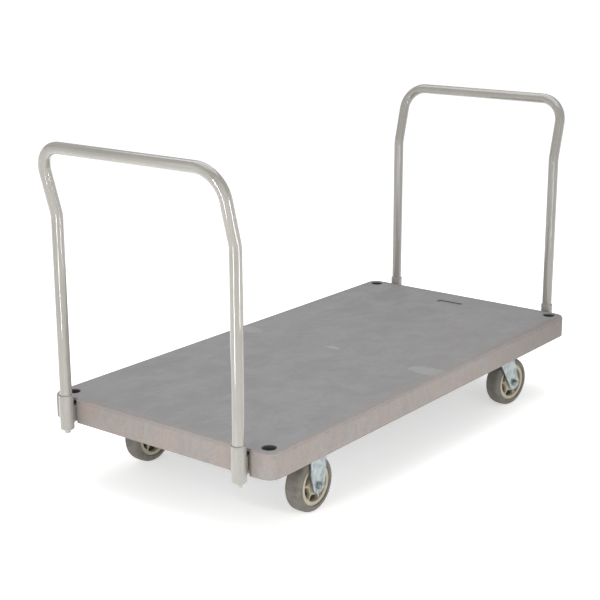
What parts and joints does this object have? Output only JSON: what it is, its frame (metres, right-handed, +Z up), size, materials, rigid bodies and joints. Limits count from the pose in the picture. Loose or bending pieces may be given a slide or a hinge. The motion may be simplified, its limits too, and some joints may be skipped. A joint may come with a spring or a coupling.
{
  "type": "platform cart",
  "caption": "Low platform cart with a flat ribbed plastic deck, a lift-out bent-tube push handle at each end, and rigid and swivel casters.",
  "frame": {"origin": "on the floor under the middle of the deck", "axes": "+X along the deck towards the swivel casters, +Y to the left side, +Z up"},
  "size_m": [1.6992, 0.762, 0.9563],
  "materials": {
    "deck_plastic": "moulded, faintly mottled",
    "handle_paint": "semi-gloss powder coat",
    "frame_steel": "black dip paint",
    "zinc_plate": "bright zinc plate",
    "bearing_steel": "ground",
    "wheel_core_plastic": "moulded polyolefin",
    "tyre_rubber": "grey non-marking rubber"
  },
  "bodies": {
    "root": {"deck_shell": "deck_plastic", "side_rail_left": "frame_steel", "side_rail_right": "frame_steel", "cross_member_near": "frame_steel", "cross_member_middle": "frame_steel", "cross_member_far": "frame_steel", "caster_wing_plates": "frame_steel", "deck_screws": "zinc_plate", "socket_near_left": "handle_paint", "socket_near_right": "handle_paint", "socket_far_left": "handle_paint", "socket_far_right": "handle_paint", "socket_cross_bolts": "zinc_plate", "socket_cross_nuts": "zinc_plate", "handle_retaining_bolts": "zinc_plate", "handle_lock_washers": "zinc_plate", "caster_bolts": "zinc_plate", "caster_washers": "zinc_plate", "caster_nuts": "zinc_plate", "rigid_plate_left": "zinc_plate", "rigid_plate_right": "zinc_plate", "rigid_fork_left": "zinc_plate", "rigid_fork_right": "zinc_plate", "rigid_axle_bolts": "zinc_plate", "rigid_axle_nuts": "zinc_plate", "rigid_bushings": "zinc_plate", "swivel_plate_left": "zinc_plate", "swivel_plate_right": "zinc_plate", "kingpins": "zinc_plate", "kingpin_nuts": "zinc_plate"},
    "handle_near": {"handle_tube_near": "handle_paint", "leg_plugs_near": "zinc_plate"},
    "handle_far": {"handle_tube_far": "handle_paint", "leg_plugs_far": "zinc_plate"},
    "swivel_left": {"swivel_fork_left": "zinc_plate", "ball_cup_left": "zinc_plate", "swivel_balls_left": "bearing_steel", "swivel_axle_bolt_left": "zinc_plate", "swivel_axle_nut_left": "zinc_plate", "swivel_bushing_left": "zinc_plate"},
    "swivel_right": {"swivel_fork_right": "zinc_plate", "ball_cup_right": "zinc_plate", "swivel_balls_right": "bearing_steel", "swivel_axle_bolt_right": "zinc_plate", "swivel_axle_nut_right": "zinc_plate", "swivel_bushing_right": "zinc_plate"},
    "wheel_near_left": {"wheel_core_near_left": "wheel_core_plastic", "tyre_near_left": "tyre_rubber", "roller_bearing_near_left": "bearing_steel"},
    "wheel_near_right": {"wheel_core_near_right": "wheel_core_plastic", "tyre_near_right": "tyre_rubber", "roller_bearing_near_right": "bearing_steel"},
    "wheel_far_left": {"wheel_core_far_left": "wheel_core_plastic", "tyre_far_left": "tyre_rubber", "roller_bearing_far_left": "bearing_steel"},
    "wheel_far_right": {"wheel_core_far_right": "wheel_core_plastic", "tyre_far_right": "tyre_rubber", "roller_bearing_far_right": "bearing_steel"}
  },
  "joints": [
    {"name": "handle_near_lift", "type": "slide", "parent": "root", "child": "handle_near", "axis": [0, 0, 1], "range_m": [0, 0.1]},
    {"name": "handle_far_lift", "type": "slide", "parent": "root", "child": "handle_far", "axis": [0, 0, 1], "range_m": [0, 0.1]},
    {"name": "swivel_left_turn", "type": "hinge", "parent": "root", "child": "swivel_left", "pos_m": [0.495, 0.286, 0.1865], "axis": [0, 0, 1], "continuous": true},
    {"name": "swivel_right_turn", "type": "hinge", "parent": "root", "child": "swivel_right", "pos_m": [0.495, -0.286, 0.1865], "axis": [0, 0, 1], "continuous": true},
    {"name": "wheel_near_left_roll", "type": "hinge", "parent": "root", "child": "wheel_near_left", "pos_m": [-0.495, 0.286, 0.0762], "axis": [0, 1, 0], "continuous": true},
    {"name": "wheel_near_right_roll", "type": "hinge", "parent": "root", "child": "wheel_near_right", "pos_m": [-0.495, -0.286, 0.0762], "axis": [0, 1, 0], "continuous": true},
    {"name": "wheel_far_left_roll", "type": "hinge", "parent": "swivel_left", "child": "wheel_far_left", "pos_m": [0.53289, 0.28202, 0.0762], "axis": [0.1045, 0.9945, 0], "continuous": true},
    {"name": "wheel_far_right_roll", "type": "hinge", "parent": "swivel_right", "child": "wheel_far_right", "pos_m": [0.53259, -0.29222, 0.0762], "axis": [0.1633, 0.9866, 0], "continuous": true}
  ]
}
